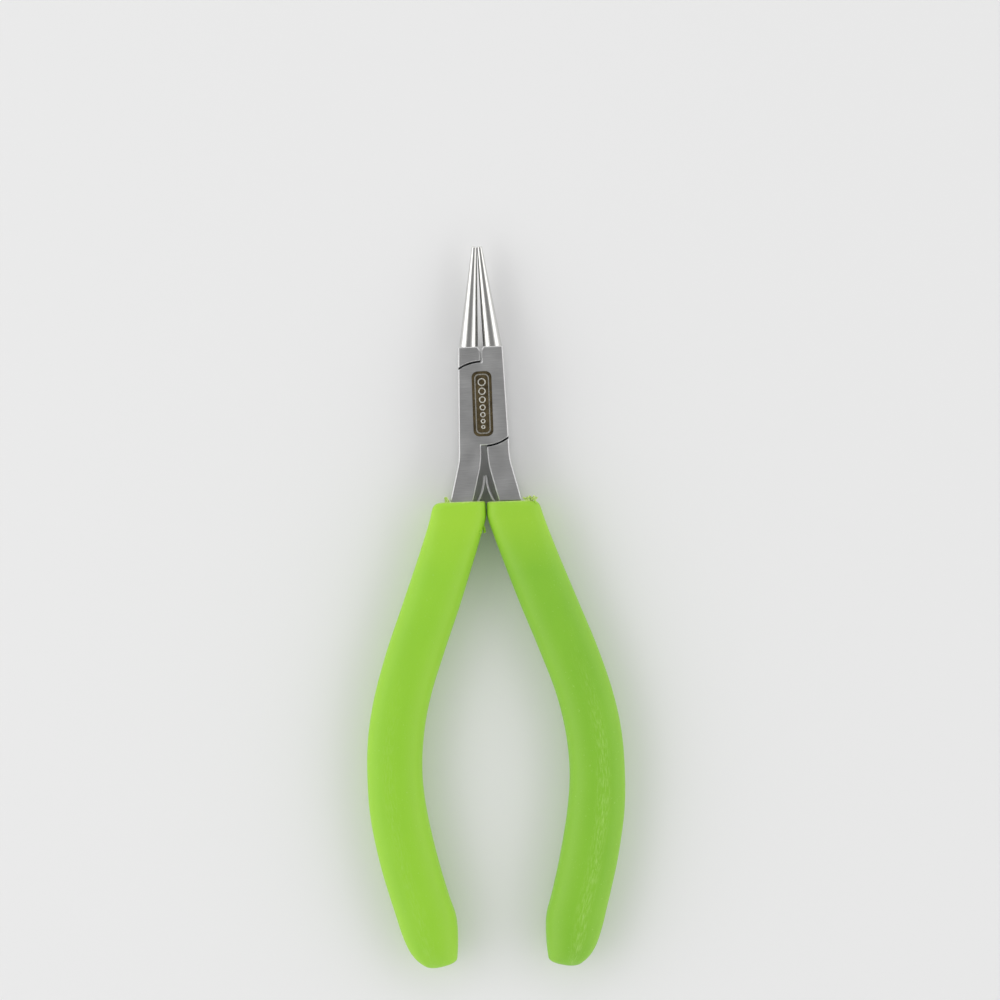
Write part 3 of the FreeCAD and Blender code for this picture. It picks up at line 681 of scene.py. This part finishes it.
# Each group of curls: the grip they hang on, their radius, their height above the grip's middle, the seed
# they are turned by, and how far out from the middle plane and down from the pivot each one is.
CURLS = {
    "left_tab": ("left", 1.00, 3.80, 5, ((7.95, 19.15), (8.25, 19.05), (8.55, 19.20))),
    "right_fringe": (
        "right", 0.60, 3.85, 11,
        ((7.9, 19.30), (8.3, 19.20), (8.7, 19.15), (9.1, 19.10), (9.5, 19.15), (9.9, 19.30), (10.2, 19.55)),
    ),
    "crotch_curl": ("left", 1.15, 2.60, 8, ((0.85, 24.8), (1.10, 25.1))),
}


def curl_tree():
    """Sets a tapering curl on each point, each turned and sized its own way."""
    tree = Tree("curls", Radius="size", Wide="size", Thick="size", Seed="count")
    arc = tree.node(
        "GeometryNodeCurveArc", Resolution=9, Radius=tree.given("Radius"), Start_Angle=-0.9, Sweep_Angle=2.3
    )
    share = tree.node("GeometryNodeSplineParameter")
    taper = tree.node("ShaderNodeMapRange", Value=share, To_Min=1.0, To_Max=0.15)
    arc = tree.node("GeometryNodeSetCurveRadius", Curve=arc, Radius=taper)
    section = tree.node("GeometryNodeCurvePrimitiveQuadrilateral", tree.given("Thick"), tree.given("Wide"))
    curl = tree.node("GeometryNodeCurveToMesh", Curve=arc, Profile_Curve=section, Fill_Caps=True)
    random = {"data_type": "FLOAT_VECTOR"}
    turn = tree.node("FunctionNodeRandomValue", settings=random, Seed=tree.given("Seed"))
    turn = tree.node("ShaderNodeVectorMath", turn, CURL_TURNS, settings={"operation": "MULTIPLY"})
    stretch = tree.node(
        "FunctionNodeRandomValue", Seed=tree.maths("ADD", tree.given("Seed"), 7),
        Min=CURL_SMALLEST, Max=CURL_LARGEST, settings=random,
    )
    points = tree.given("Geometry")
    tree.finish(
        tree.node("GeometryNodeInstanceOnPoints", Points=points, Instance=curl, Rotation=turn, Scale=stretch)
    )
    return tree


curl_rule = curl_tree()
for name, (side, radius, level, seed, places) in CURLS.items():
    spots = [PIVOT + Vector((WAY[side] * out, -down, level)) * MM for out, down in places]
    roots = bpy.data.meshes.new(name + "_roots")
    roots.from_pydata([tuple(spot) for spot in spots], [], [])
    curls = grown(
        name, new_piece(name + "_roots", roots), curl_rule, grip_lime[side],
        Radius=radius * MM, Wide=CURL_WIDE, Thick=CURL_THICK, Seed=seed,
    )
    turned_out(curls)
    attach(curls, BODY_OF[side])

# Studio. A plain pale floor under the pliers, a white surround with a grey opening over them, and a large
# soft lamp at each side.
REACH = 8.0  # of the floor, each way
FLOOR_TONE = (0.80, 0.80, 0.80, 1)
corners = [(-REACH, -REACH, 0), (REACH, -REACH, 0), (REACH, REACH, 0), (-REACH, REACH, 0)]
floor_mesh = made_mesh("floor", corners, [(0, 1, 2, 3)])
floor_material, floor_look = new_material("pale_floor")
floor_look.give(Base_Color=FLOOR_TONE, Roughness=0.8, Specular_IOR_Level=0.1)
floor = new_piece("floor", floor_mesh, floor_material)

# How far up, as a sine, each part of the surround starts and ends, and its brightness at either end.
OPENING = (0.67, 0.76, 1.50, 0.285)
HORIZON = (0.0, 0.40, 0.62, 1.0)
world = bpy.data.worlds.new("surround")
bpy.context.scene.world = world
sky = Look(world, "ShaderNodeBackground", "ShaderNodeOutputWorld")
height = sky.apart(sky.node("ShaderNodeTexCoord", out="Generated"))["Z"]
high_sky = sky.ranged(height, *OPENING)
high_sky.node.interpolation_type = "SMOOTHSTEP"
low_sky = sky.ranged(height, *HORIZON)
sky.give(Color=(1.0, 1.0, 1.0, 1), Strength=sky.maths("MULTIPLY", high_sky, low_sky))

LAMPS = (
    # name, place, size, watts
    ("left_lamp", (-0.75, 0.05, 0.45), (0.9, 1.1), 2.0),
    ("right_lamp", (0.75, 0.05, 0.45), (0.9, 1.1), 1.0),
)
for name, place, size, watts in LAMPS:
    data = bpy.data.lights.new(name, "AREA")
    data.shape = "RECTANGLE"
    data.size, data.size_y = size
    data.energy = watts
    lamp = bpy.data.objects.new(name, data)
    lamp.location = place
    aim = Vector((0, 0, 0)) - Vector(place)
    lamp.rotation_euler = aim.to_track_quat("-Z", "Y").to_euler()
    bpy.context.scene.collection.objects.link(lamp)

# Camera. Straight above the pliers with a long lens, and turned a little so that the noses lean to the
# left of upright.
VIEW_WIDTH = 0.2  # metres across the picture at the pliers' middle
VIEW_MIDDLE = Vector((2.78, -19.25, 0)) * MM  # from the pivot
VIEW_TURN = -2.1  # degrees
camera_data = bpy.data.cameras.new("camera")
camera_data.sensor_width = 36.0
camera_data.lens = 100.0
camera = bpy.data.objects.new("camera", camera_data)
distance = VIEW_WIDTH * camera_data.lens / camera_data.sensor_width
camera.location = PIVOT + VIEW_MIDDLE + Vector((0, 0, distance))
camera.rotation_euler = (0, 0, math.radians(VIEW_TURN))
bpy.context.scene.collection.objects.link(camera)
bpy.context.scene.camera = camera
bpy.context.scene.view_settings.view_transform = "Standard"
